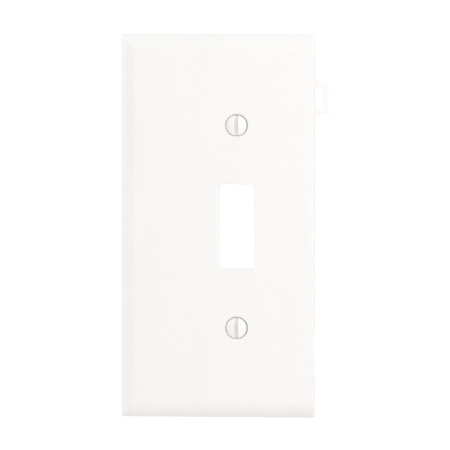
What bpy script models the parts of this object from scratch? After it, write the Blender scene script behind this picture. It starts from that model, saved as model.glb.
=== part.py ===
"""Sectional wall plate for a toggle switch: the left end panel of a gang, with its two screws.

The panel is one nylon moulding, open at the back. Its left, top and bottom edges roll down to the
wall. Its right edge is cut square and butts against the next panel of the gang. Near the top of
that edge a flat U-shaped loop stands out, and the same distance below the middle a pocket with a
catch takes the loop of the next panel, which is the same moulding turned half a turn.

Frame: +X to the right, +Z up, and -Y out of the wall towards the viewer. The origin is on the wall
plane, at the middle of the switch's opening.
"""

import math

import bmesh
import bpy

MM = 0.001
INCH = 25.4 * MM

# Outline. A gang's switches stand one pitch apart, and its panels meet halfway between them.
HEIGHT = 4.5 * INCH
LEFT_EDGE = -2.75 * INCH / 2
GANG_PITCH = 1.8125 * INCH
BUTT_EDGE = GANG_PITCH / 2

# The shell, from front to back
DEPTH = 5.6 * MM
FACE_THICKNESS = 2.2 * MM
CEILING = FACE_THICKNESS - DEPTH
WALL = 1.9 * MM
BUTT_WALL = 1.6 * MM

# The rolled edge is an arc between the lip at the wall and a faint crease at the face.
ROLL_WIDTH = 4.5 * MM
ROLL_AT_FACE = math.radians(12)
ROLL_AT_LIP = math.radians(68)
ROLL_STEPS = 8
LIP_DRAFT = 0.06 * MM
CORNER_RADIUS = 0.6 * MM
CORNER_STEPS = 4

# The switch's opening
OPENING_WIDTH = 10.6 * MM
OPENING_HEIGHT = 25.2 * MM
OPENING_CORNER = 0.8 * MM
OPENING_FLARE = 0.2 * MM
COLLAR_WIDTH = 1.4 * MM
COLLAR_BACK = -1.9 * MM

# Screw holes, countersunk for 82 degree heads, and slotted a little so that a panel can shift sideways
SCREW_SPACING = 2.375 * INCH
SCREW_HEIGHTS = {"upper": SCREW_SPACING / 2, "lower": -SCREW_SPACING / 2}
BORE_RADIUS = 2.03 * MM
BORE_SHIFT = 0.3 * MM
SINK_RADIUS = 3.5 * MM
SINK_HALF_ANGLE = math.radians(41)
BOSS_RADIUS = 4.6 * MM
BOSS_BACK = -1.4 * MM
HOLE_SIDES = 32

# Stiffening ribs behind the face
RIB_WIDTH = 1.0 * MM
RIB_BACK = -2.1 * MM
COLLAR_RIB_HEIGHT = 8.5 * MM

# The loop, and the pocket and catch that take the next panel's loop
JOINING_HEIGHT = 1.5 * INCH
LOOP_REACH = 5.0 * MM
LOOP_HALF_HEIGHT = 4.9 * MM
LOOP_FRONT = -3.0 * MM
LOOP_BACK = -1.9 * MM
LOOP_ROOT_GAP = 0.3 * MM
WINDOW_REACH = 2.4 * MM
WINDOW_HALF_HEIGHT = 3.4 * MM
GUSSET_REACH = 1.4 * MM
INNER_GUSSET_SPREAD = 1.3 * MM
OUTER_GUSSET_SPREAD = 0.8 * MM
LEAD_IN = 1.0 * MM
LEAD_IN_CORNER = 1.0 * MM
TIP_LAND = 0.4 * MM
POCKET_HALF_HEIGHT = 6.2 * MM
POCKET_EXTRA_DEPTH = 0.1 * MM
CATCH_HALF_LENGTH = 1.9 * MM
CATCH_CLEARANCE = 0.25 * MM
CATCH_BITE = 0.3 * MM
CATCH_TOP_WIDTH = 0.3 * MM
CATCH_RAMP = 1.1 * MM

# The screws: number 6-32, oval heads with a slot, half an inch long from the head's rim
THREAD_PITCH = INCH / 32
THREAD_RADIUS = 0.138 * INCH / 2
THREAD_ROOT_RADIUS = 1.27 * MM
THREAD_TURNS = 10
THREAD_START = 2.4 * MM
THREAD_SIDES = 20
# Where one turn's root and crest begin and end, in shares of the pitch
ROOT_AND_CREST = ((0.0, False), (0.25, False), (0.5625, True), (0.6875, True))
SCREW_LENGTH = 0.5 * INCH
TIP_CHAMFER = 0.6 * MM
HEAD_RADIUS = 3.05 * MM
HEAD_RIM = 0.12 * MM
DOME_HEIGHT = 1.1 * MM
DOME_STEPS = 4
NECK_RADIUS = 1.5 * MM
SLOT_WIDTH = 1.05 * MM
SLOT_DEPTH = 1.45 * MM
SEAT_GAP = 0.3 * MM

# Cutters run past the surfaces they open, and joined shapes overlap, by this much.
OVERRUN = 1.0 * MM
BITE = 0.2 * MM


def clear_scene():
    for obj in list(bpy.data.objects):
        bpy.data.objects.remove(obj)


def material(name, colour, roughness):
    made = bpy.data.materials.new(name)
    made.use_nodes = True
    shader = made.node_tree.nodes["Principled BSDF"]
    shader.inputs["Base Color"].default_value = (*colour, 1.0)
    shader.inputs["Roughness"].default_value = roughness
    shader.inputs["Metallic"].default_value = 0.0
    return made


def object_from(name, verts, faces, location=(0, 0, 0)):
    """A mesh object from points and faces, with every face turned outwards."""
    mesh = bpy.data.meshes.new(name)
    mesh.from_pydata(verts, [], faces)
    shape = bmesh.new()
    shape.from_mesh(mesh)
    bmesh.ops.recalc_face_normals(shape, faces=shape.faces)
    shape.to_mesh(mesh)
    shape.free()
    obj = bpy.data.objects.new(name, mesh)
    obj.location = location
    bpy.context.collection.objects.link(obj)
    return obj


def lofted(name, rings):
    """A closed solid through rings of equally many points, with a flat cap at each end."""
    count = len(rings[0])
    verts = [point for ring in rings for point in ring]
    faces = [tuple(range(count)), tuple(range(len(verts) - count, len(verts)))]
    for start in range(0, len(verts) - count, count):
        for i in range(count):
            j = (i + 1) % count
            faces.append((start + i, start + j, start + count + j, start + count + i))
    return object_from(name, verts, faces)


def rounded_rectangle(left, right, bottom, top, radius, y):
    """A ring of points at depth y, with a radius on each corner."""
    corners = (
        (right - radius, top - radius, 0),
        (left + radius, top - radius, 90),
        (left + radius, bottom + radius, 180),
        (right - radius, bottom + radius, 270),
    )
    ring = []
    for x, z, first in corners:
        for step in range(CORNER_STEPS + 1):
            angle = math.radians(first + 90 * step / CORNER_STEPS)
            ring.append((x + radius * math.cos(angle), y, z + radius * math.sin(angle)))
    return ring


def circle(radius, y, z, shift=0.0):
    """A ring about a hole's axis. Its two halves stand apart by shift on each side, as in a slot."""
    ring = []
    for i in range(HOLE_SIDES):
        angle = 2 * math.pi * (i + 0.5) / HOLE_SIDES
        x = radius * math.cos(angle)
        ring.append((x + math.copysign(shift, x), y, z + radius * math.sin(angle)))
    return ring


def box(name, left, right, front, back, bottom, top):
    """A block between three pairs of planes."""
    rings = [
        [(left, y, bottom), (right, y, bottom), (right, y, top), (left, y, top)]
        for y in (front, back)
    ]
    return lofted(name, rings)


def combine(target, tool, operation):
    """Joins tool to target or cuts it away, and leaves tool in the scene as a hidden guide."""
    tool.hide_render = True
    tool.display_type = "WIRE"
    modifier = target.modifiers.new(f"{operation} {tool.name}", "BOOLEAN")
    modifier.object = tool
    modifier.operation = operation
    modifier.solver = "EXACT"


def rolled_edge():
    """The edge's profile from the wall to the face, as pairs of inset and distance from the wall."""
    radius = ROLL_WIDTH / (math.sin(ROLL_AT_LIP) - math.sin(ROLL_AT_FACE))
    lip_height = DEPTH - radius * (math.cos(ROLL_AT_FACE) - math.cos(ROLL_AT_LIP))
    profile = [(-LIP_DRAFT, 0.0)]
    for step in range(ROLL_STEPS + 1):
        angle = ROLL_AT_LIP + (ROLL_AT_FACE - ROLL_AT_LIP) * step / ROLL_STEPS
        inset = radius * (math.sin(ROLL_AT_LIP) - math.sin(angle))
        height = lip_height + radius * (math.cos(angle) - math.cos(ROLL_AT_LIP))
        profile.append((inset, height))
    return profile


def panel_ring(inset, y, butt_inset=0.0):
    """The panel's outline drawn in by inset on every side but the butt edge."""
    ends = HEIGHT / 2 - LIP_DRAFT - inset
    left = LEFT_EDGE + LIP_DRAFT + inset
    return rounded_rectangle(left, BUTT_EDGE - butt_inset, -ends, ends, CORNER_RADIUS, y)


def outer_block():
    rings = [panel_ring(inset, -height) for inset, height in rolled_edge()]
    return lofted("cover_plate", rings)


def hollow():
    """The space behind the face. Its ceiling is drawn in under the rolled edge."""
    floor_ring = panel_ring(WALL, OVERRUN, BUTT_WALL)
    bend_ring = panel_ring(WALL, -WALL, BUTT_WALL)
    ceiling_ring = panel_ring(ROLL_WIDTH, CEILING, BUTT_WALL)
    return lofted("hollow", [floor_ring, bend_ring, ceiling_ring])


def boss(name, z):
    rings = [circle(BOSS_RADIUS, y, z) for y in (CEILING - BITE, BOSS_BACK)]
    return lofted(f"{name}_boss", rings)


def screw_hole(name, z):
    """A countersunk hole, as one cutter that widens past the face. Its bore is the slotted part."""
    cone_depth = (SINK_RADIUS - BORE_RADIUS) / math.tan(SINK_HALF_ANGLE)
    mouth = SINK_RADIUS + OVERRUN * math.tan(SINK_HALF_ANGLE)
    rings = [
        circle(BORE_RADIUS, OVERRUN, z, BORE_SHIFT),
        circle(BORE_RADIUS, cone_depth - DEPTH, z, BORE_SHIFT),
        circle(mouth, -DEPTH - OVERRUN, z),
    ]
    return lofted(f"{name}_screw_hole", rings)


def opening_ring(grow, y):
    half_width = OPENING_WIDTH / 2 + grow
    half_height = OPENING_HEIGHT / 2 + grow
    radius = OPENING_CORNER + grow
    return rounded_rectangle(-half_width, half_width, -half_height, half_height, radius, y)


def collar():
    rings = [opening_ring(COLLAR_WIDTH, y) for y in (CEILING - BITE, COLLAR_BACK)]
    return lofted("opening_collar", rings)


def switch_opening():
    """The opening's edge is chamfered at the face, so that the switch's lever doesn't meet a sharp one."""
    rings = [
        opening_ring(0, OVERRUN),
        opening_ring(0, OPENING_FLARE - DEPTH),
        opening_ring(OPENING_FLARE, -DEPTH),
        opening_ring(OPENING_FLARE, -DEPTH - OVERRUN),
    ]
    return lofted("switch_opening", rings)


def rib(name, left, right, bottom, top):
    return box(name, left, right, CEILING - BITE, RIB_BACK, bottom, top)


def ribs():
    """Ribs from the collar and the bosses to the walls, each sunk a little into what it meets."""
    half = RIB_WIDTH / 2
    collar_side = (OPENING_WIDTH + COLLAR_WIDTH) / 2
    collar_end = (OPENING_HEIGHT + COLLAR_WIDTH) / 2
    boss_wall = (BORE_RADIUS + BOSS_RADIUS) / 2
    left_wall = LEFT_EDGE + WALL
    right_wall = BUTT_EDGE - BUTT_WALL / 2
    end_wall = HEIGHT / 2 - WALL
    cross_end = BUTT_EDGE - LOOP_REACH - OVERRUN
    made = []
    for side, sign in (("upper", 1), ("lower", -1)):
        inner = sorted((sign * collar_end, sign * (SCREW_SPACING / 2 - boss_wall)))
        outer = sorted((sign * (SCREW_SPACING / 2 + boss_wall), sign * end_wall))
        made.append(rib(f"{side}_inner_rib", -half, half, *inner))
        made.append(rib(f"{side}_outer_rib", -half, half, *outer))
        z = sign * COLLAR_RIB_HEIGHT
        made.append(rib(f"{side}_left_rib", left_wall, -collar_side, z - half, z + half))
        made.append(rib(f"{side}_right_rib", collar_side, right_wall, z - half, z + half))
        z = sign * JOINING_HEIGHT
        made.append(rib(f"{side}_cross_rib", left_wall, cross_end, z - half, z + half))
    return made


def loop_pocket():
    """The gap in the butt wall that lets the next panel's loop in behind the face."""
    return box(
        "loop_pocket",
        BUTT_EDGE - BUTT_WALL - BITE,
        BUTT_EDGE + OVERRUN,
        CEILING - POCKET_EXTRA_DEPTH,
        OVERRUN,
        -JOINING_HEIGHT - POCKET_HALF_HEIGHT,
        -JOINING_HEIGHT + POCKET_HALF_HEIGHT,
    )


def catch():
    """A wedge behind the face. The next panel's loop rides up its ramp and drops over its steep side."""
    steep_side = BUTT_EDGE - WINDOW_REACH + CATCH_CLEARANCE
    top_end = steep_side + CATCH_TOP_WIDTH
    crest = LOOP_FRONT + CATCH_BITE
    root = CEILING - POCKET_EXTRA_DEPTH - BITE
    outline = [(steep_side, root), (steep_side, crest), (top_end, crest), (top_end + CATCH_RAMP, root)]
    ends = (-JOINING_HEIGHT - CATCH_HALF_LENGTH, -JOINING_HEIGHT + CATCH_HALF_LENGTH)
    return lofted("catch", [[(x, y, z) for x, y in outline] for z in ends])


def cover_plate(nylon):
    """The panel's moulding without its loop."""
    plate = outer_block()
    combine(plate, hollow(), "DIFFERENCE")
    for part in [boss(name, z) for name, z in SCREW_HEIGHTS.items()] + [collar(), *ribs()]:
        combine(plate, part, "UNION")
    for name, z in SCREW_HEIGHTS.items():
        combine(plate, screw_hole(name, z), "DIFFERENCE")
    combine(plate, switch_opening(), "DIFFERENCE")
    combine(plate, loop_pocket(), "DIFFERENCE")
    combine(plate, catch(), "UNION")
    plate.data.materials.append(nylon)
    return plate


def loop_outline(tip, y):
    """The loop's outline about its hinge line: two arms with gussets at the root, and a cross bar."""
    inner = [
        (LOOP_ROOT_GAP, y, WINDOW_HALF_HEIGHT - INNER_GUSSET_SPREAD),
        (GUSSET_REACH, y, WINDOW_HALF_HEIGHT),
        (WINDOW_REACH, y, WINDOW_HALF_HEIGHT),
    ]
    outer = [
        (tip, y, LOOP_HALF_HEIGHT - LEAD_IN_CORNER),
        (tip - LEAD_IN_CORNER, y, LOOP_HALF_HEIGHT),
        (GUSSET_REACH, y, LOOP_HALF_HEIGHT),
        (LOOP_ROOT_GAP, y, LOOP_HALF_HEIGHT + OUTER_GUSSET_SPREAD),
    ]
    upper = outer + inner
    lower = [(x, y, -z) for x, y, z in reversed(upper)]
    return upper + lower


def interlock_loop(nylon):
    """The loop flexes towards the wall about its root, where it grows out of the butt wall."""
    middle = (LOOP_FRONT + LOOP_BACK) / 2
    depths = ((LOOP_FRONT, LOOP_REACH - LEAD_IN), (LOOP_BACK - TIP_LAND, LOOP_REACH), (LOOP_BACK, LOOP_REACH))
    rings = [loop_outline(tip, depth - middle) for depth, tip in depths]
    loop = lofted("interlock_loop", rings)
    loop.location = (BUTT_EDGE, middle, JOINING_HEIGHT)
    loop.data.materials.append(nylon)
    return loop


class ScrewMesh:
    """Points and faces of one screw about its own axis, which runs along +Y from the head's rim."""

    def __init__(self):
        self.verts = []
        self.faces = []

    def ring(self, radius, y):
        """Adds a ring of points and returns their numbers."""
        first = len(self.verts)
        for i in range(THREAD_SIDES):
            angle = 2 * math.pi * i / THREAD_SIDES
            self.verts.append((radius * math.cos(angle), y, radius * math.sin(angle)))
        return list(range(first, first + THREAD_SIDES))

    def join(self, one, other):
        """Bands two rings together."""
        for i in range(THREAD_SIDES):
            j = (i + 1) % THREAD_SIDES
            self.faces.append((one[i], one[j], other[j], other[i]))

    def head(self):
        """Dome, rim and cone. Returns the ring where the thread begins."""
        dome_radius = (HEAD_RADIUS**2 + DOME_HEIGHT**2) / (2 * DOME_HEIGHT)
        dome_angle = math.asin(HEAD_RADIUS / dome_radius)
        crown = dome_radius - DOME_HEIGHT
        profile = []
        for step in range(1, DOME_STEPS + 1):
            angle = dome_angle * step / DOME_STEPS
            profile.append((dome_radius * math.sin(angle), crown - dome_radius * math.cos(angle)))
        cone_end = HEAD_RIM + (HEAD_RADIUS - NECK_RADIUS) / math.tan(SINK_HALF_ANGLE)
        profile += [(HEAD_RADIUS, HEAD_RIM), (NECK_RADIUS, cone_end), (THREAD_ROOT_RADIUS, THREAD_START)]
        rings = [self.ring(radius, y) for radius, y in profile]
        self.faces.append(tuple(rings[0]))
        for one, other in zip(rings, rings[1:]):
            self.join(one, other)
        return rings[-1]

    def thread(self):
        """Rows of points that climb one pitch a turn. Each column holds the points at one angle,
        and the first column is a whole turn longer, because the last column meets it a turn on."""
        rows_a_turn = len(ROOT_AND_CREST)
        last_row = rows_a_turn * THREAD_TURNS
        columns = []
        for i in range(THREAD_SIDES):
            angle = 2 * math.pi * i / THREAD_SIDES
            column = []
            for row in range(last_row + 1 + (rows_a_turn if i == 0 else 0)):
                share, is_crest = ROOT_AND_CREST[row % rows_a_turn]
                turn = row // rows_a_turn + i / THREAD_SIDES
                height = max(0.0, min(1.0, turn, THREAD_TURNS - turn)) if is_crest else 0.0
                radius = THREAD_ROOT_RADIUS + (THREAD_RADIUS - THREAD_ROOT_RADIUS) * height
                y = THREAD_START + THREAD_PITCH * (0.25 + turn + share)
                column.append(len(self.verts))
                self.verts.append((radius * math.cos(angle), y, radius * math.sin(angle)))
            columns.append(column)
        columns.append(columns[0][rows_a_turn:])
        for left, right in zip(columns, columns[1:]):
            for row in range(last_row):
                self.faces.append((left[row], right[row], right[row + 1], left[row + 1]))
        return columns

    def fan(self, apex, rim):
        """Triangles from one point to a row of points."""
        for near, far in zip(rim, rim[1:]):
            self.faces.append((apex, near, far))


def screw_shape(name):
    """The thread begins and ends in a step one pitch high, which a fan of triangles closes."""
    shape = ScrewMesh()
    neck = shape.head()
    columns = shape.thread()
    rows_a_turn = len(ROOT_AND_CREST)
    last_row = rows_a_turn * THREAD_TURNS
    shape.join(neck, [column[0] for column in columns[:THREAD_SIDES]])
    shape.fan(columns[THREAD_SIDES - 1][0], columns[0][: rows_a_turn + 1])
    shank_end = shape.ring(THREAD_ROOT_RADIUS, SCREW_LENGTH - TIP_CHAMFER)
    shape.join([columns[0][-1]] + [column[last_row] for column in columns[1:THREAD_SIDES]], shank_end)
    shape.fan(columns[1][last_row], columns[0][last_row:])
    tip = shape.ring(THREAD_ROOT_RADIUS - TIP_CHAMFER / 2, SCREW_LENGTH)
    shape.join(shank_end, tip)
    shape.faces.append(tuple(tip))
    return object_from(name, shape.verts, shape.faces)


def mounting_screw(side, z, paint):
    """A seated screw, with its slot upright."""
    screw = screw_shape(f"{side}_screw")
    half = SLOT_WIDTH / 2
    reach = HEAD_RADIUS + OVERRUN
    slot = box(f"{side}_slot", -half, half, -DOME_HEIGHT - OVERRUN, SLOT_DEPTH - DOME_HEIGHT, -reach, reach)
    combine(screw, slot, "DIFFERENCE")
    sunk = (SINK_RADIUS - HEAD_RADIUS) / math.tan(SINK_HALF_ANGLE) - SEAT_GAP / math.sin(SINK_HALF_ANGLE)
    screw.location = (0, sunk - HEAD_RIM - DEPTH, z)
    slot.parent = screw
    screw.data.materials.append(paint)
    return screw


def shade(obj):
    """Smooth where faces nearly line up, sharp at real edges."""
    obj.data.shade_smooth()
    obj.data.set_sharp_from_angle(angle=math.radians(30))


def main():
    clear_scene()
    nylon = material("white_nylon", (0.86, 0.86, 0.84), 0.38)
    paint = material("white_screw_paint", (0.86, 0.86, 0.84), 0.3)
    pieces = [cover_plate(nylon), interlock_loop(nylon)]
    pieces += [mounting_screw(side, z, paint) for side, z in SCREW_HEIGHTS.items()]
    for piece in pieces:
        shade(piece)


main()
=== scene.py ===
"""The looks of a sectional toggle wall plate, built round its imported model.

One continuous nylon moulding stands for the plate and for the loop that flexes on it, and two painted
screws stand in its holes. Lengths are in metres. X is across the plate with the loop at +X, Z is up,
and -Y points out of the wall. The outside sizes are read from the frame, and the rest are named here.
"""

import math

import bmesh
import bpy
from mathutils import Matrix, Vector


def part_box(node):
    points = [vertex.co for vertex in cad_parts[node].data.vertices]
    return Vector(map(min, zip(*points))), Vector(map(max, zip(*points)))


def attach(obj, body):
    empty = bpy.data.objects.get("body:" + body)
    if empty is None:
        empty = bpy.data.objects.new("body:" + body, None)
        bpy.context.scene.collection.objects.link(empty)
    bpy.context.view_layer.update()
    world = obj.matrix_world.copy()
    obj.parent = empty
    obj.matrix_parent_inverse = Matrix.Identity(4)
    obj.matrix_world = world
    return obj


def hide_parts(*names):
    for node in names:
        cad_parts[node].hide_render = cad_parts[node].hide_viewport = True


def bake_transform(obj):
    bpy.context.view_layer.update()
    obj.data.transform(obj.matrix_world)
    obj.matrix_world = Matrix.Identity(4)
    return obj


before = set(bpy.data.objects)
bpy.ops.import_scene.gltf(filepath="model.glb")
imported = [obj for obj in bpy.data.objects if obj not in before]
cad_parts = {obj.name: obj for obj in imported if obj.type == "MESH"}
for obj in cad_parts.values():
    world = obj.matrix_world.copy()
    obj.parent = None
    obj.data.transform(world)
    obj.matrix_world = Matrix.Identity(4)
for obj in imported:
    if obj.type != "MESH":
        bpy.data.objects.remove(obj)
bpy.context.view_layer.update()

MM = 0.001
INCH = 25.4 * MM

# The plate's outside, read from the frame
PLATE_LOW, PLATE_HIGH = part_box("cover_plate")
LEFT, FACE, BOTTOM = PLATE_LOW
RIGHT, BACK, TOP = PLATE_HIGH

# The shell
CEILING = FACE + 2.2 * MM
WALL = 1.9 * MM
BUTT_WALL = 1.6 * MM
ROLL_WIDTH = 4.5 * MM
ROLL_AT_FACE = math.radians(12)
ROLL_AT_LIP = math.radians(68)
ROLL_STEPS = 24
LIP_DRAFT = 0.06 * MM
OUTLINE_CORNER = 0.6 * MM
BUTT_ROUND = 0.35 * MM
STRIP = 2.0 * MM
CORNER_STEPS = 8

# Openings in the face
OPENING_WIDTH = 10.6 * MM
OPENING_HEIGHT = 25.2 * MM
OPENING_CORNER = 0.8 * MM
OPENING_FLARE = 0.2 * MM
COLLAR_WIDTH = 1.4 * MM
COLLAR_BACK = FACE + 3.7 * MM
BORE_RADIUS = 2.03 * MM
BORE_SHIFT = 0.3 * MM
SINK_RADIUS = 3.5 * MM
SINK_HALF_ANGLE = math.radians(41)
BOSS_RADIUS = 4.6 * MM
BOSS_BACK = FACE + 4.2 * MM
HOLE_SIDES = 72

# Ribs and ejector-pin marks behind the face. The marks' places (x, z) are in millimetres.
RIB_WIDTH = 1.0 * MM
RIB_BACK = FACE + 3.5 * MM
RIB_DRAFT = 0.08 * MM
COLLAR_RIB_HEIGHT = 8.5 * MM
CROSS_RIB_GAP = 1.0 * MM
EJECTOR_RADIUS = 1.75 * MM
EJECTOR_DEPTH = 0.12 * MM
EJECTOR_SPOTS = ((-24, 46), (12, 47), (-24, 17), (14, 19), (-24, -17), (14, -19), (-24, -46), (12, -49))

# The joining loop, the pocket and the catch
LOOP_LOW, LOOP_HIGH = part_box("interlock_loop")
JOINING_HEIGHT = (LOOP_LOW.z + LOOP_HIGH.z) / 2
LOOP_REACH = LOOP_HIGH.x - RIGHT
LOOP_HALF_HEIGHT = 4.9 * MM
WINDOW_REACH = 2.4 * MM
WINDOW_HALF_HEIGHT = 3.4 * MM
GUSSET_REACH = 1.4 * MM
INNER_GUSSET_SPREAD = 1.3 * MM
OUTER_GUSSET_SPREAD = 0.8 * MM
LEAD_IN = 1.0 * MM
LEAD_IN_CORNER = 1.0 * MM
TIP_LAND = 0.4 * MM
POCKET_HALF_HEIGHT = 6.2 * MM
POCKET_EXTRA_DEPTH = 0.1 * MM
CATCH_HALF_LENGTH = 1.9 * MM
CATCH_CLEARANCE = 0.25 * MM
CATCH_BITE = 0.3 * MM
CATCH_TOP_WIDTH = 0.3 * MM
CATCH_RAMP = 1.1 * MM
BEND_LENGTH = 3.0 * MM
BEND_STEPS = 10

# How far each kind of corner is cut back where it is rounded
CREASE_CUT = 0.4 * MM
LIP_CUT = 0.2 * MM
RIM_CUT = 0.18 * MM
BEND_CUT = 0.8 * MM
CEILING_CUT = 0.8 * MM
ROOT_FILLET = 0.3 * MM
BOSS_FILLET = 0.35 * MM
RIB_FILLET = 0.25 * MM
COLLAR_FILLET = 0.2 * MM
HOLE_LIP = 0.12 * MM
FLARE_CUT = 0.15 * MM
LOOP_CORNER_CUT = 0.35 * MM
GUSSET_CUT = 0.35 * MM
WINDOW_CORNER_CUT = 0.3 * MM
LOOP_EDGE = 0.14 * MM
CATCH_EDGE = 0.08 * MM
POCKET_EDGE = 0.3 * MM
FILLET_STEPS = 6
BEVEL_SEGMENTS = 3
BEVEL_ANGLE = math.radians(25)
SHARP_ANGLE = math.radians(32)

# The screws
SCREW_BOXES = {side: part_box(f"{side}_screw") for side in ("upper", "lower")}
SCREWS = {side: (low.z + high.z) / 2 for side, (low, high) in SCREW_BOXES.items()}
SCREW_HEIGHT = SCREWS["upper"]
SCREW_LENGTH = 0.5 * INCH
SCREW_SIDES = 56
HEAD_RADIUS = 3.05 * MM
DOME_HEIGHT = 1.1 * MM
DOME_STEPS = 12
HEAD_RIM = 0.12 * MM
HEAD_EDGE_CUT = 0.05 * MM
NECK_RADIUS = 1.5 * MM
NECK_CUT = 0.2 * MM
THREAD_PITCH = INCH / 32
THREAD_RADIUS = 0.138 * INCH / 2
THREAD_ROOT_RADIUS = 1.27 * MM
THREAD_START = 2.4 * MM
THREAD_RUN_IN = 0.25 * THREAD_PITCH
THREAD_TURNS = 10
# One turn's profile: the share of the pitch, and the share of the thread's height there
THREAD_PROFILE = (
    (0.00, 0.00),
    (0.15, 0.00),
    (0.20, 0.06),
    (0.50, 0.94),
    (0.54, 1.00),
    (0.63, 1.00),
    (0.67, 0.94),
    (0.97, 0.06),
)
TIP_CHAMFER = 0.6 * MM
SLOT_WIDTH = 1.05 * MM
SLOT_DEPTH = 1.45 * MM
SLOT_LIP = 0.07 * MM
SLOT_STEPS = 28

# How far cutters run past a surface, how far a shape is sunk into what it joins, the gap that keeps
# a rounded lip off the surface it meets, and the distance within which points are one
OVERRUN = 1.0 * MM
BITE = 0.2 * MM
HAIR = 0.004 * MM
MERGE = 0.0005 * MM

# Materials. A colour or a roughness goes from one end to the other as its texture goes through
# TEXTURE_SPAN. A size is how far apart a texture's features are, a stretch is how much closer they
# are along each axis, and a relief is their height.
TEXTURE_SPAN = (0.3, 0.7)
NYLON_COLOURS = ((0.877, 0.876, 0.857), (0.886, 0.885, 0.870))
NYLON_ROUGHNESS = (0.36, 0.44)
NYLON_FLOW_SIZE = 14 * MM
NYLON_FLOW_STRETCH = (1.6, 1.0, 0.6)
NYLON_PATCH_SIZE = 5 * MM
NYLON_WAVE_SIZE = 9 * MM
NYLON_WAVE_RELIEF = 0.012 * MM
NYLON_GRAIN_SIZE = 0.45 * MM
NYLON_GRAIN_RELIEF = 0.003 * MM
NYLON_IOR = 1.53
NYLON_SUBSURFACE = 0.08
NYLON_SUBSURFACE_RADIUS = (1.0, 0.95, 0.85)
NYLON_SUBSURFACE_SCALE = 0.5 * MM
ENAMEL_COLOURS = ((0.885, 0.88, 0.868), (0.90, 0.897, 0.888))
ENAMEL_ROUGHNESS = (0.22, 0.32)
ENAMEL_TINT_SIZE = 1.2 * MM
ENAMEL_PATCH_SIZE = 0.6 * MM
ENAMEL_RIPPLE_SIZE = 0.5 * MM
ENAMEL_RIPPLE_RELIEF = 0.004 * MM
ENAMEL_IOR = 1.5
ZINC_COLOURS = ((0.6, 0.61, 0.62), (0.74, 0.74, 0.73))
ZINC_ROUGHNESS = (0.26, 0.42)
ZINC_CLOUD_SIZE = 0.9 * MM
ZINC_STREAK_SIZE = 0.5 * MM
ZINC_STREAK_STRETCH = (0.6, 5.0, 0.6)
ZINC_STREAK_RELIEF = 0.004 * MM
PAPER_COLOURS = ((0.85, 0.81, 0.815), (0.88, 0.84, 0.845))
PAPER_MOTTLE_SIZE = 60 * MM
PAPER_ROUGHNESS = 0.9
PAPER_SPECULAR = 0.2

# The studio: a white room that gives less light overhead, and shows as pure white whatever it gives.
# A softbox has an azimuth, an elevation, a distance, a width and a power in watts. The key light is
# in front at the upper right, and the side light is at the left and a little behind the wall plane.
ROOM_LIGHT = 0.955
ROOM_LIGHT_ABOVE = 0.87
ROOM_SHOWN = 1.05
KEY_LIGHT = (math.radians(38), math.radians(20), 0.45, 0.28, 0.49)
SIDE_LIGHT = (math.radians(-106), math.radians(22), 0.6, 0.36, 0.64)
FLOOR_LOW = Vector((-1.5, -2.0, -0.12))
FLOOR_HIGH = Vector((1.5, 0.3, -0.10))

# The camera. VIEW_WIDTH is how much it sees across at the plate's face. The plate's origin, midway
# between the screws, stands a little off the middle of the view.
SENSOR = 36.0
CAMERA_AZIMUTH = math.radians(5.3)
CAMERA_ELEVATION = math.radians(3.5)
CAMERA_DISTANCE = 2.5
CLIP_START = 50 * MM
VIEW_WIDTH = 133.7 * MM
PLATE_RIGHT_OF_CENTRE = 3.39 * MM
PLATE_BELOW_CENTRE = 0.53 * MM


def softened(corners):
    """Rounds the corners of a line, given as pairs of a point and how far it is cut back.

    A corner is cut back along both of its sides, and a parabola joins the two cuts. A cut of 0
    leaves the point as it is.
    """
    line = []
    points = [Vector(point) for point, _ in corners]
    for i, (point, (_, cut)) in enumerate(zip(points, corners)):
        if cut == 0:
            line.append(point)
            continue
        before = points[i - 1]
        after = points[(i + 1) % len(points)]
        start = point + (before - point).normalized() * cut
        end = point + (after - point).normalized() * cut
        for step in range(FILLET_STEPS + 1):
            share = step / FILLET_STEPS
            line.append(start * (1 - share) ** 2 + point * 2 * share * (1 - share) + end * share**2)
    return line


def object_from(name, verts, faces):
    """A mesh object from points and faces, with every face turned outwards."""
    mesh = bpy.data.meshes.new(name)
    mesh.from_pydata(verts, [], faces)
    shape = bmesh.new()
    shape.from_mesh(mesh)
    bmesh.ops.recalc_face_normals(shape, faces=shape.faces)
    shape.to_mesh(mesh)
    shape.free()
    obj = bpy.data.objects.new(name, mesh)
    bpy.context.scene.collection.objects.link(obj)
    return obj


def lofted(name, rings):
    """A closed solid through rings of equally many points, with a flat cap at each end."""
    count = len(rings[0])
    verts = [point for ring in rings for point in ring]
    faces = [tuple(range(count)), tuple(range(len(verts) - count, len(verts)))]
    for start in range(0, len(verts) - count, count):
        for i in range(count):
            j = (i + 1) % count
            faces.append((start + i, start + j, start + count + j, start + count + i))
    return object_from(name, verts, faces)


def rounded_rectangle(left, right, bottom, top, radius, y):
    """A ring of points at depth y, with a radius on each corner."""
    corners = (
        (right - radius, top - radius, 0),
        (left + radius, top - radius, 90),
        (left + radius, bottom + radius, 180),
        (right - radius, bottom + radius, 270),
    )
    ring = []
    for x, z, first in corners:
        for step in range(CORNER_STEPS + 1):
            angle = math.radians(first + 90 * step / CORNER_STEPS)
            ring.append((x + radius * math.cos(angle), y, z + radius * math.sin(angle)))
    return ring


def circle(radius, y, x=0.0, z=0.0, shift=0.0):
    """A ring about an axis along Y. Its two halves stand apart by shift on each side, as in a slot."""
    ring = []
    for i in range(HOLE_SIDES):
        angle = 2 * math.pi * (i + 0.5) / HOLE_SIDES
        across = radius * math.cos(angle)
        ring.append((x + across + math.copysign(shift, across), y, z + radius * math.sin(angle)))
    return ring


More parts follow.
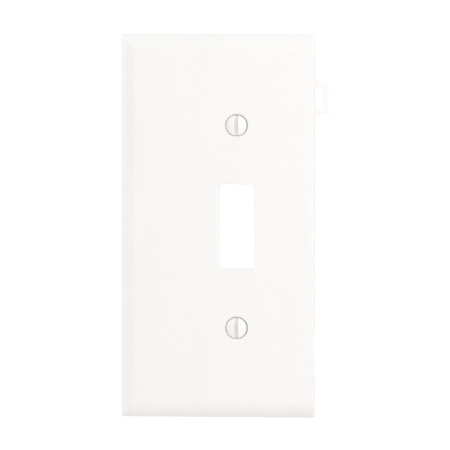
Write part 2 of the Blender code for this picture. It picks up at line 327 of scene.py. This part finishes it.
def box(name, left, right, front, back, bottom, top):
    """A block between three pairs of planes."""
    rings = [
        [(left, y, bottom), (right, y, bottom), (right, y, top), (left, y, top)]
        for y in (front, back)
    ]
    return lofted(name, rings)


def rounded_edges(obj, width):
    """Rounds an object's edges wherever its faces turn by more than the rounded outlines do."""
    bevel = obj.modifiers.new("rounded edges", "BEVEL")
    bevel.width = width
    bevel.segments = BEVEL_SEGMENTS
    bevel.limit_method = "ANGLE"
    bevel.angle_limit = BEVEL_ANGLE
    return obj


def combine(target, tool, operation):
    """Joins tool to target or cuts it away."""
    tool.hide_render = True
    modifier = target.modifiers.new(f"{operation} {tool.name}", "BOOLEAN")
    modifier.object = tool
    modifier.operation = operation
    modifier.solver = "EXACT"


def applied(obj):
    """Applies the object's modifiers and removes the tools that they used."""
    bpy.context.view_layer.update()
    evaluated = obj.evaluated_get(bpy.context.evaluated_depsgraph_get())
    mesh = bpy.data.meshes.new_from_object(evaluated)
    tools = [modifier.object for modifier in obj.modifiers if modifier.type == "BOOLEAN"]
    obj.modifiers.clear()
    obj.data = mesh
    for tool in tools:
        bpy.data.objects.remove(tool)


def finished(obj):
    """Clears up a cut mesh and shades it: smooth along curves, sharp at real edges, flat on flats."""
    shape = bmesh.new()
    shape.from_mesh(obj.data)
    bmesh.ops.remove_doubles(shape, verts=shape.verts, dist=MERGE)
    bmesh.ops.dissolve_degenerate(shape, edges=shape.edges, dist=MERGE)
    bmesh.ops.recalc_face_normals(shape, faces=shape.faces)
    shape.to_mesh(obj.data)
    shape.free()
    obj.data.shade_smooth()
    obj.data.set_sharp_from_angle(angle=SHARP_ANGLE)
    normals = obj.modifiers.new("weighted normals", "WEIGHTED_NORMAL")
    normals.keep_sharp = True


def roll_line():
    """The rolled edge from the face to the lip, as pairs of inset and depth."""
    radius = ROLL_WIDTH / (math.sin(ROLL_AT_LIP) - math.sin(ROLL_AT_FACE))
    line = []
    for step in range(ROLL_STEPS + 1):
        angle = ROLL_AT_FACE + (ROLL_AT_LIP - ROLL_AT_FACE) * step / ROLL_STEPS
        inset = radius * (math.sin(ROLL_AT_LIP) - math.sin(angle))
        line.append((inset, FACE + radius * (math.cos(ROLL_AT_FACE) - math.cos(angle))))
    return line


def panel_ring(inset, butt_inset, y):
    """The panel's outline drawn in by inset on three sides and by butt_inset on the fourth."""
    drawn_in = LIP_DRAFT + inset
    right = RIGHT - butt_inset
    return rounded_rectangle(LEFT + drawn_in, right, BOTTOM + drawn_in, TOP - drawn_in, OUTLINE_CORNER, y)


def butt_rounding(y):
    """How far the rounding of the butt edge has drawn it in at depth y."""
    rise = min(BUTT_ROUND, max(0.0, BUTT_ROUND - (y - FACE)))
    return BUTT_ROUND - math.sqrt(BUTT_ROUND**2 - rise**2)


def shell():
    """The panel's skin, from the face over the rolled edge and round the rim to the ceiling.

    The crease's rounding takes the place of the roll's first step.
    """
    roll = roll_line()
    outer = softened(
        [((ROLL_WIDTH + STRIP, FACE), 0), (roll[0], CREASE_CUT)]
        + [(point, 0) for point in roll[2:-1]]
        + [(roll[-1], LIP_CUT), ((-LIP_DRAFT, BACK), 0)]
    )
    inner = softened(
        [
            ((0, 0, roll[-1][1]), 0),
            ((-LIP_DRAFT, 0, BACK), RIM_CUT),
            ((WALL, BUTT_WALL, BACK), RIM_CUT),
            ((WALL, BUTT_WALL, BACK - WALL), BEND_CUT),
            ((ROLL_WIDTH, BUTT_WALL, CEILING), CEILING_CUT),
            ((ROLL_WIDTH + STRIP, BUTT_WALL + STRIP, CEILING), 0),
        ]
    )
    rings = [panel_ring(ROLL_WIDTH + STRIP, BUTT_ROUND + STRIP, FACE)]
    rings += [panel_ring(inset, butt_rounding(y), y) for inset, y in outer[1:-1]]
    rings += [panel_ring(*point) for point in inner[1:]]
    return lofted("moulding", rings)


def turned(name, line, x, z):
    """A solid turned about an axis along Y, from radius, depth and how far a slot's halves stand apart."""
    return lofted(name, [circle(radius, y, x, z, shift) for radius, y, shift in line])


def boss(name, z):
    """The thick ring round a screw's hole, with a fillet at its root."""
    line = softened(
        [
            ((BOSS_RADIUS + 2 * ROOT_FILLET, CEILING - HAIR, 0), 0),
            ((BOSS_RADIUS, CEILING - HAIR, 0), ROOT_FILLET),
            ((BOSS_RADIUS, BOSS_BACK, 0), BOSS_FILLET),
            ((0, BOSS_BACK, 0), 0),
        ]
    )
    sunk = (BOSS_RADIUS + ROOT_FILLET, CEILING - BITE, 0)
    return turned(f"{name}_boss", [sunk, *line[1:-1]], 0, z)


def screw_hole(name, z):
    """A countersunk hole with a slotted bore, and a rounded lip at each end."""
    cone_depth = (SINK_RADIUS - BORE_RADIUS) / math.tan(SINK_HALF_ANGLE)
    line = softened(
        [
            ((BORE_RADIUS + OVERRUN, BOSS_BACK + HAIR, BORE_SHIFT), 0),
            ((BORE_RADIUS, BOSS_BACK + HAIR, BORE_SHIFT), HOLE_LIP),
            ((BORE_RADIUS, FACE + cone_depth, BORE_SHIFT), 0),
            ((SINK_RADIUS, FACE - HAIR, 0), HOLE_LIP),
            ((SINK_RADIUS + OVERRUN, FACE - HAIR, 0), 0),
        ]
    )[1:-1]
    back = (line[0][0], BOSS_BACK + OVERRUN, BORE_SHIFT)
    front = (line[-1][0], FACE - OVERRUN, 0)
    return turned(f"{name}_screw_hole", [back, *line, front], 0, z)


def opening_ring(grow, y):
    """The switch's opening, grown by a distance on every side."""
    half_width = OPENING_WIDTH / 2 + grow
    half_height = OPENING_HEIGHT / 2 + grow
    radius = OPENING_CORNER + grow
    return rounded_rectangle(-half_width, half_width, -half_height, half_height, radius, y)


def collar():
    """The raised edge round the opening's back."""
    line = softened(
        [
            ((COLLAR_WIDTH + 2 * ROOT_FILLET, CEILING - HAIR), 0),
            ((COLLAR_WIDTH, CEILING - HAIR), ROOT_FILLET),
            ((COLLAR_WIDTH, COLLAR_BACK), COLLAR_FILLET),
            ((0, COLLAR_BACK), 0),
        ]
    )[1:-1]
    sunk = (line[0][0], CEILING - BITE)
    return lofted("opening_collar", [opening_ring(grow, y) for grow, y in [sunk, *line]])


def switch_opening():
    """The switch's opening, with a small chamfer at the face and a rounded edge at the back."""
    line = softened(
        [
            ((OVERRUN, COLLAR_BACK + HAIR), 0),
            ((0, COLLAR_BACK + HAIR), COLLAR_FILLET),
            ((0, FACE + OPENING_FLARE), FLARE_CUT),
            ((OPENING_FLARE, FACE - HAIR), HOLE_LIP),
            ((OPENING_FLARE + OVERRUN, FACE - HAIR), 0),
        ]
    )[1:-1]
    back = (line[0][0], COLLAR_BACK + OVERRUN)
    front = (line[-1][0], FACE - OVERRUN)
    return lofted("switch_opening", [opening_ring(grow, y) for grow, y in [back, *line, front]])


def rib(name, start, end):
    """A drafted rib behind the face between two points (x, z), with a fillet at its root."""
    half = RIB_WIDTH / 2
    side = softened(
        [
            ((half + 2 * ROOT_FILLET, CEILING - HAIR), 0),
            ((half, CEILING - HAIR), ROOT_FILLET),
            ((half - RIB_DRAFT, RIB_BACK), RIB_FILLET),
            ((0, RIB_BACK), 0),
        ]
    )[1:-1]
    side = [Vector((side[0][0], CEILING - BITE)), *side]
    profile = side + [Vector((-across, y)) for across, y in reversed(side)]
    start = Vector(start)
    end = Vector(end)
    across_axis = (end - start).orthogonal().normalized()
    rings = []
    for place in (start, end):
        ring = []
        for across, y in profile:
            spot = place + across_axis * across
            ring.append((spot.x, y, spot.y))
        rings.append(ring)
    return lofted(name, rings)


def ribs():
    """Ribs from the collar and the bosses to the walls, each sunk a little into what it meets."""
    collar_side = (OPENING_WIDTH + COLLAR_WIDTH) / 2
    collar_end = (OPENING_HEIGHT + COLLAR_WIDTH) / 2
    boss_wall = (BORE_RADIUS + BOSS_RADIUS) / 2
    left_wall = LEFT + WALL
    right_wall = RIGHT - BUTT_WALL / 2
    end_wall = TOP - WALL
    cross_end = RIGHT - LOOP_REACH - CROSS_RIB_GAP
    made = []
    for side, sign in (("upper", 1), ("lower", -1)):
        spans = {
            "inner": ((0, sign * collar_end), (0, sign * (SCREW_HEIGHT - boss_wall))),
            "outer": ((0, sign * (SCREW_HEIGHT + boss_wall)), (0, sign * end_wall)),
            "left": ((left_wall, sign * COLLAR_RIB_HEIGHT), (-collar_side, sign * COLLAR_RIB_HEIGHT)),
            "right": ((collar_side, sign * COLLAR_RIB_HEIGHT), (right_wall, sign * COLLAR_RIB_HEIGHT)),
            "cross": ((left_wall, sign * JOINING_HEIGHT), (cross_end, sign * JOINING_HEIGHT)),
        }
        made += [rib(f"{side}_{name}_rib", *span) for name, span in spans.items()]
    return made


def ejector_marks():
    """Shallow round marks in the ceiling, where pins pushed the moulding out of its mould."""
    line = softened(
        [
            ((EJECTOR_RADIUS, CEILING + OVERRUN, 0), 0),
            ((EJECTOR_RADIUS, CEILING - EJECTOR_DEPTH, 0), EJECTOR_DEPTH / 2),
            ((0, CEILING - EJECTOR_DEPTH, 0), 0),
        ]
    )[:-1]
    return [
        turned(f"ejector_mark_{i}", line, x * MM, z * MM) for i, (x, z) in enumerate(EJECTOR_SPOTS)
    ]


def loop_pocket():
    """The gap in the butt wall that lets the next panel's loop in behind the face."""
    pocket = box(
        "loop_pocket",
        RIGHT - BUTT_WALL - BITE,
        RIGHT + OVERRUN,
        CEILING - POCKET_EXTRA_DEPTH,
        BACK + OVERRUN,
        -JOINING_HEIGHT - POCKET_HALF_HEIGHT,
        -JOINING_HEIGHT + POCKET_HALF_HEIGHT,
    )
    return rounded_edges(pocket, POCKET_EDGE)


def catch():
    """A wedge behind the face. The next panel's loop rides up its ramp and drops over its steep side."""
    steep_side = RIGHT - WINDOW_REACH + CATCH_CLEARANCE
    top_end = steep_side + CATCH_TOP_WIDTH
    crest = LOOP_LOW.y + CATCH_BITE
    root = CEILING - POCKET_EXTRA_DEPTH - BITE
    outline = [(steep_side, root), (steep_side, crest), (top_end, crest), (top_end + CATCH_RAMP, root)]
    ends = (-JOINING_HEIGHT - CATCH_HALF_LENGTH, -JOINING_HEIGHT + CATCH_HALF_LENGTH)
    wedge = lofted("catch", [[(x, y, z) for x, y in outline] for z in ends])
    return rounded_edges(wedge, CATCH_EDGE)


def loop_ring(tip, y):
    """The loop's outline at depth y: two arms with gussets at the root, and a cross bar."""
    outer = [
        ((tip, LOOP_HALF_HEIGHT - LEAD_IN_CORNER), LOOP_CORNER_CUT),
        ((tip - LEAD_IN_CORNER, LOOP_HALF_HEIGHT), LOOP_CORNER_CUT),
        ((GUSSET_REACH, LOOP_HALF_HEIGHT), GUSSET_CUT),
        ((0, LOOP_HALF_HEIGHT + OUTER_GUSSET_SPREAD), 0),
        ((-BITE, LOOP_HALF_HEIGHT + OUTER_GUSSET_SPREAD), 0),
    ]
    inner = [
        ((-BITE, WINDOW_HALF_HEIGHT - INNER_GUSSET_SPREAD), 0),
        ((0, WINDOW_HALF_HEIGHT - INNER_GUSSET_SPREAD), 0),
        ((GUSSET_REACH, WINDOW_HALF_HEIGHT), GUSSET_CUT),
        ((WINDOW_REACH, WINDOW_HALF_HEIGHT), WINDOW_CORNER_CUT),
    ]
    upper = outer + inner
    lower = [((x, -z), cut) for (x, z), cut in reversed(upper)]
    return [(RIGHT + x, y, JOINING_HEIGHT + z) for x, z in softened(upper + lower)]


def loop():
    """The loop grows out of the butt wall. Its front is ramped at the tip, to ride over the catch."""
    front = LOOP_LOW.y
    back = LOOP_HIGH.y
    depths = ((front, LOOP_REACH - LEAD_IN), (back - TIP_LAND, LOOP_REACH), (back, LOOP_REACH))
    solid = lofted("loop", [loop_ring(tip, y) for y, tip in depths])
    return rounded_edges(solid, LOOP_EDGE)


def bend_lines(obj):
    """Cuts the loop's arms into short lengths, so that they bend smoothly when the loop flexes."""
    shape = bmesh.new()
    shape.from_mesh(obj.data)
    for step in range(1, BEND_STEPS + 1):
        x = RIGHT + BEND_LENGTH * step / BEND_STEPS
        geometry = shape.verts[:] + shape.edges[:] + shape.faces[:]
        bmesh.ops.bisect_plane(shape, geom=geometry, plane_co=(x, 0, 0), plane_no=(1, 0, 0), dist=MERGE)
    shape.to_mesh(obj.data)
    shape.free()


def moulding(material):
    """The whole nylon moulding: the panel, and the loop that flexes on it."""
    panel = shell()
    for part in [boss(name, z) for name, z in SCREWS.items()] + [collar(), *ribs()]:
        combine(panel, part, "UNION")
    for part in [screw_hole(name, z) for name, z in SCREWS.items()] + [switch_opening(), loop_pocket()]:
        combine(panel, part, "DIFFERENCE")
    for mark in ejector_marks():
        combine(panel, mark, "DIFFERENCE")
    combine(panel, catch(), "UNION")
    combine(panel, loop(), "UNION")
    applied(panel)
    bend_lines(panel)
    finished(panel)
    panel.data.materials.append(material)
    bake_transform(panel)
    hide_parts("cover_plate", "interlock_loop")


class ScrewMesh:
    """Points and faces of one screw about its own axis, which runs along +Y from the head's rim."""

    def __init__(self):
        self.verts = []
        self.faces = []

    def ring(self, radius, y):
        """Adds a ring of points and returns their numbers."""
        first = len(self.verts)
        for i in range(SCREW_SIDES):
            angle = 2 * math.pi * i / SCREW_SIDES
            self.verts.append((radius * math.cos(angle), y, radius * math.sin(angle)))
        return list(range(first, first + SCREW_SIDES))

    def join(self, one, other):
        """Bands two rings together."""
        for i in range(SCREW_SIDES):
            j = (i + 1) % SCREW_SIDES
            self.faces.append((one[i], one[j], other[j], other[i]))

    def fan(self, apex, rim):
        """Triangles from one point to a row of points."""
        for near, far in zip(rim, rim[1:]):
            self.faces.append((apex, near, far))

    def head(self):
        """Dome, rim, cone and neck. Returns the ring where the thread begins."""
        line = [Vector(dome_point(step / DOME_STEPS)) for step in range(1, DOME_STEPS)]
        line += softened(
            [
                (dome_point(1 - 1 / DOME_STEPS), 0),
                (dome_point(1), HEAD_EDGE_CUT),
                ((HEAD_RADIUS, HEAD_RIM), HEAD_EDGE_CUT),
                ((NECK_RADIUS, cone_end()), NECK_CUT),
                ((THREAD_ROOT_RADIUS, THREAD_START), 0),
            ]
        )[1:]
        rings = [self.ring(radius, y) for radius, y in line]
        self.faces.append(tuple(rings[0]))
        for one, other in zip(rings, rings[1:]):
            self.join(one, other)
        return rings[-1]

    def thread(self):
        """Rows of points that climb one pitch a turn. Each column holds the points at one angle,
        and the first column is a whole turn longer, because the last column meets it a turn on."""
        rows_a_turn = len(THREAD_PROFILE)
        last_row = rows_a_turn * THREAD_TURNS
        columns = []
        for i in range(SCREW_SIDES):
            angle = 2 * math.pi * i / SCREW_SIDES
            column = []
            for row in range(last_row + 1 + (rows_a_turn if i == 0 else 0)):
                share, height = THREAD_PROFILE[row % rows_a_turn]
                turn = row // rows_a_turn + i / SCREW_SIDES
                height *= max(0.0, min(1.0, turn, THREAD_TURNS - turn))
                radius = THREAD_ROOT_RADIUS + (THREAD_RADIUS - THREAD_ROOT_RADIUS) * height
                y = THREAD_START + THREAD_RUN_IN + THREAD_PITCH * (turn + share)
                column.append(len(self.verts))
                self.verts.append((radius * math.cos(angle), y, radius * math.sin(angle)))
            columns.append(column)
        columns.append(columns[0][rows_a_turn:])
        for left, right in zip(columns, columns[1:]):
            for row in range(last_row):
                self.faces.append((left[row], right[row], right[row + 1], left[row + 1]))
        return columns


def dome_point(share):
    """Radius and depth on the head's dome, at a share of the way from its crown to its rim."""
    dome_radius = (HEAD_RADIUS**2 + DOME_HEIGHT**2) / (2 * DOME_HEIGHT)
    angle = math.asin(HEAD_RADIUS / dome_radius) * share
    return (dome_radius * math.sin(angle), dome_radius - DOME_HEIGHT - dome_radius * math.cos(angle))


def dome_depth(radius):
    """Depth of the dome's surface at a distance from the axis."""
    dome_radius = (HEAD_RADIUS**2 + DOME_HEIGHT**2) / (2 * DOME_HEIGHT)
    return dome_radius - DOME_HEIGHT - math.sqrt(dome_radius**2 - radius**2)


def cone_end():
    """Depth at which the head's cone meets the neck."""
    return HEAD_RIM + (HEAD_RADIUS - NECK_RADIUS) / math.tan(SINK_HALF_ANGLE)


def screw_shape(name):
    """The thread begins and ends in a step one pitch high, which a fan of triangles closes."""
    shape = ScrewMesh()
    neck = shape.head()
    columns = shape.thread()
    rows_a_turn = len(THREAD_PROFILE)
    last_row = rows_a_turn * THREAD_TURNS
    shape.join(neck, [column[0] for column in columns[:SCREW_SIDES]])
    shape.fan(columns[SCREW_SIDES - 1][0], columns[0][: rows_a_turn + 1])
    shank_end = shape.ring(THREAD_ROOT_RADIUS, SCREW_LENGTH - TIP_CHAMFER)
    shape.join([columns[0][-1]] + [column[last_row] for column in columns[1:SCREW_SIDES]], shank_end)
    shape.fan(columns[1][last_row], columns[0][last_row:])
    tip = shape.ring(THREAD_ROOT_RADIUS - TIP_CHAMFER / 2, SCREW_LENGTH)
    shape.join(shank_end, tip)
    shape.faces.append(tuple(tip))
    return object_from(name, shape.verts, shape.faces)


def slot_cutter(name):
    """A flat-bottomed slot right across the head, whose lips are rounded along the dome."""
    half = SLOT_WIDTH / 2
    reach = math.sqrt(HEAD_RADIUS**2 - (half + SLOT_LIP) ** 2)
    floor = SLOT_DEPTH - DOME_HEIGHT
    rings = []
    for step in range(SLOT_STEPS + 1):
        z = reach * (2 * step / SLOT_STEPS - 1)
        surface = dome_depth(math.hypot(half, z))
        side = softened(
            [
                ((0, floor), 0),
                ((half, floor), SLOT_LIP),
                ((half, surface), SLOT_LIP),
                ((half + SLOT_LIP, surface - HAIR), 0),
                ((half + SLOT_LIP, -DOME_HEIGHT - OVERRUN), 0),
            ]
        )[1:]
        ring = [(x, y, z) for x, y in side] + [(-x, y, z) for x, y in reversed(side)]
        rings.append(ring)
    beyond = HEAD_RADIUS + OVERRUN
    first = [(x, y, -beyond) for x, y, _ in rings[0]]
    last = [(x, y, beyond) for x, y, _ in rings[-1]]
    return lofted(name, [first, *rings, last])


def mounting_screw(side, paint, zinc):
    """A seated screw with an upright slot: a painted head on a bare zinc shank."""
    node = f"{side}_screw"
    screw = screw_shape(f"{side}_mounting_screw")
    combine(screw, slot_cutter(f"{side}_slot"), "DIFFERENCE")
    applied(screw)
    finished(screw)
    screw.data.materials.append(paint)
    screw.data.materials.append(zinc)
    for face in screw.data.polygons:
        face.material_index = 1 if face.center.y > cone_end() else 0
    screw.location = (0, SCREW_BOXES[side][1].y - SCREW_LENGTH, SCREWS[side])
    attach(screw, node)
    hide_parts(node)


class Nodes:
    """A short way to write a material's node tree."""

    def __init__(self, name):
        self.material = bpy.data.materials.new(name)
        self.material.use_nodes = True
        self.tree = self.material.node_tree
        self.shader = self.tree.nodes["Principled BSDF"]
        self.place = self.tree.nodes.new("ShaderNodeTexCoord").outputs["Object"]

    def link(self, source, target):
        self.tree.links.new(source, target)

    def noise(self, feature, detail=2.0, stretch=(1, 1, 1)):
        """Noise whose features are about so many metres across."""
        mapping = self.tree.nodes.new("ShaderNodeMapping")
        mapping.inputs["Scale"].default_value = [part / feature for part in stretch]
        texture = self.tree.nodes.new("ShaderNodeTexNoise")
        texture.inputs["Scale"].default_value = 1.0
        texture.inputs["Detail"].default_value = detail
        self.link(self.place, mapping.inputs["Vector"])
        self.link(mapping.outputs["Vector"], texture.inputs["Vector"])
        return texture.outputs["Fac"]

    def vary(self, socket, texture, ends):
        """Runs one of the shader's sockets from one colour to another along a texture."""
        ramp = self.tree.nodes.new("ShaderNodeValToRGB")
        ramp.color_ramp.interpolation = "EASE"
        for element, position, colour in zip(ramp.color_ramp.elements, TEXTURE_SPAN, ends):
            element.position = position
            element.color = (*colour, 1.0)
        self.link(texture, ramp.inputs["Fac"])
        self.link(ramp.outputs["Color"], self.shader.inputs[socket])

    def bump(self, height, distance, before=None):
        """Bump whose full height is distance metres, on top of the bump before it."""
        bump = self.tree.nodes.new("ShaderNodeBump")
        bump.inputs["Strength"].default_value = 1.0
        bump.inputs["Distance"].default_value = distance
        self.link(height, bump.inputs["Height"])
        if before:
            self.link(before, bump.inputs["Normal"])
        return bump.outputs["Normal"]


def greys(values):
    """A grey colour for each value."""
    return [(value, value, value) for value in values]


def nylon():
    """White moulded nylon: a satin skin with a fine texture and the faintest flow marks."""
    made = Nodes("white_nylon_moulding")
    flow = made.noise(NYLON_FLOW_SIZE, detail=3.0, stretch=NYLON_FLOW_STRETCH)
    made.vary("Base Color", flow, NYLON_COLOURS)
    patches = made.noise(NYLON_PATCH_SIZE, detail=4.0)
    made.vary("Roughness", patches, greys(NYLON_ROUGHNESS))
    waves = made.bump(made.noise(NYLON_WAVE_SIZE, detail=1.0), NYLON_WAVE_RELIEF)
    skin = made.bump(made.noise(NYLON_GRAIN_SIZE), NYLON_GRAIN_RELIEF, waves)
    made.link(skin, made.shader.inputs["Normal"])
    made.shader.inputs["IOR"].default_value = NYLON_IOR
    made.shader.inputs["Subsurface Weight"].default_value = NYLON_SUBSURFACE
    made.shader.inputs["Subsurface Radius"].default_value = NYLON_SUBSURFACE_RADIUS
    made.shader.inputs["Subsurface Scale"].default_value = NYLON_SUBSURFACE_SCALE
    return made.material


def screw_paint():
    """Baked white enamel, glossier than the nylon, with the soft ripple of a thin coat."""
    made = Nodes("white_screw_enamel")
    tint = made.noise(ENAMEL_TINT_SIZE, detail=3.0)
    made.vary("Base Color", tint, ENAMEL_COLOURS)
    patches = made.noise(ENAMEL_PATCH_SIZE, detail=3.0)
    made.vary("Roughness", patches, greys(ENAMEL_ROUGHNESS))
    ripple = made.bump(made.noise(ENAMEL_RIPPLE_SIZE), ENAMEL_RIPPLE_RELIEF)
    made.link(ripple, made.shader.inputs["Normal"])
    made.shader.inputs["IOR"].default_value = ENAMEL_IOR
    return made.material


def zinc_plate():
    """Bright zinc on the shank, with the streaks that rolling the thread leaves."""
    made = Nodes("zinc_plate")
    made.shader.inputs["Metallic"].default_value = 1.0
    cloud = made.noise(ZINC_CLOUD_SIZE, detail=4.0)
    made.vary("Base Color", cloud, ZINC_COLOURS)
    streaks = made.noise(ZINC_STREAK_SIZE, detail=3.0, stretch=ZINC_STREAK_STRETCH)
    made.vary("Roughness", streaks, greys(ZINC_ROUGHNESS))
    made.link(made.bump(streaks, ZINC_STREAK_RELIEF), made.shader.inputs["Normal"])
    return made.material


def backdrop_paper():
    """Matt paper, white with a trace of pink."""
    made = Nodes("studio_paper")
    made.vary("Base Color", made.noise(PAPER_MOTTLE_SIZE, detail=3.0), PAPER_COLOURS)
    made.shader.inputs["Roughness"].default_value = PAPER_ROUGHNESS
    made.shader.inputs["Specular IOR Level"].default_value = PAPER_SPECULAR
    return made.material


def studio_floor():
    """A pale table top below the plate, short enough to stay out of the front view."""
    low, high = FLOOR_LOW, FLOOR_HIGH
    floor = box("studio_floor", low.x, high.x, low.y, high.y, low.z, high.z)
    floor.data.materials.append(backdrop_paper())


def aimed(obj, target):
    """Turns an object's -Z axis to a point, with its Y axis up."""
    obj.rotation_euler = (target - obj.location).to_track_quat("-Z", "Y").to_euler()


def direction(azimuth, elevation):
    """The direction from the plate towards a viewer: azimuth 0 is straight out of the wall."""
    across = math.cos(elevation)
    return Vector((math.sin(azimuth) * across, -math.cos(azimuth) * across, math.sin(elevation)))


def soft_light(name, azimuth, elevation, distance, size, power):
    """A square softbox aimed at the plate."""
    data = bpy.data.lights.new(name, "AREA")
    data.shape = "SQUARE"
    data.size = size
    data.energy = power
    light = bpy.data.objects.new(name, data)
    light.location = direction(azimuth, elevation) * distance
    aimed(light, Vector((0, 0, 0)))
    bpy.context.scene.collection.objects.link(light)


def white_world():
    """A white room. Its light falls off overhead, but the camera sees it all as the same pure white."""
    world = bpy.data.worlds.new("white_room")
    bpy.context.scene.world = world
    world.use_nodes = True
    tree = world.node_tree
    lighting = tree.nodes["Background"]
    place = tree.nodes.new("ShaderNodeTexCoord")
    parts = tree.nodes.new("ShaderNodeSeparateXYZ")
    fade = tree.nodes.new("ShaderNodeMapRange")
    fade.inputs["From Min"].default_value = 0.0
    fade.inputs["From Max"].default_value = 1.0
    fade.inputs["To Min"].default_value = ROOM_LIGHT
    fade.inputs["To Max"].default_value = ROOM_LIGHT_ABOVE
    tree.links.new(place.outputs["Generated"], parts.inputs["Vector"])
    tree.links.new(parts.outputs["Z"], fade.inputs["Value"])
    tree.links.new(fade.outputs["Result"], lighting.inputs["Strength"])
    lighting.inputs["Color"].default_value = (1.0, 1.0, 1.0, 1.0)
    shown = tree.nodes.new("ShaderNodeBackground")
    shown.inputs["Color"].default_value = (1.0, 1.0, 1.0, 1.0)
    shown.inputs["Strength"].default_value = ROOM_SHOWN
    rays = tree.nodes.new("ShaderNodeLightPath")
    mix = tree.nodes.new("ShaderNodeMixShader")
    tree.links.new(rays.outputs["Is Camera Ray"], mix.inputs["Fac"])
    tree.links.new(lighting.outputs["Background"], mix.inputs[1])
    tree.links.new(shown.outputs["Background"], mix.inputs[2])
    tree.links.new(mix.outputs["Shader"], tree.nodes["World Output"].inputs["Surface"])


def camera():
    """A long lens a little to the right of the plate and above it."""
    data = bpy.data.cameras.new("camera")
    data.sensor_width = SENSOR
    data.lens = SENSOR * CAMERA_DISTANCE / VIEW_WIDTH
    data.clip_start = CLIP_START
    seen = bpy.data.objects.new("camera", data)
    bpy.context.scene.collection.objects.link(seen)
    bpy.context.scene.camera = seen
    out = direction(CAMERA_AZIMUTH, CAMERA_ELEVATION)
    right = Vector((math.cos(CAMERA_AZIMUTH), math.sin(CAMERA_AZIMUTH), 0))
    up = out.cross(right)
    target = Vector((0, FACE, 0)) - right * PLATE_RIGHT_OF_CENTRE + up * PLATE_BELOW_CENTRE
    seen.location = target + out * CAMERA_DISTANCE
    aimed(seen, target)


def main():
    moulding(nylon())
    paint = screw_paint()
    zinc = zinc_plate()
    for side in SCREWS:
        mounting_screw(side, paint, zinc)
    studio_floor()
    white_world()
    soft_light("key_light", *KEY_LIGHT)
    soft_light("side_light", *SIDE_LIGHT)
    camera()
    bpy.context.scene.view_settings.view_transform = "Standard"


main()
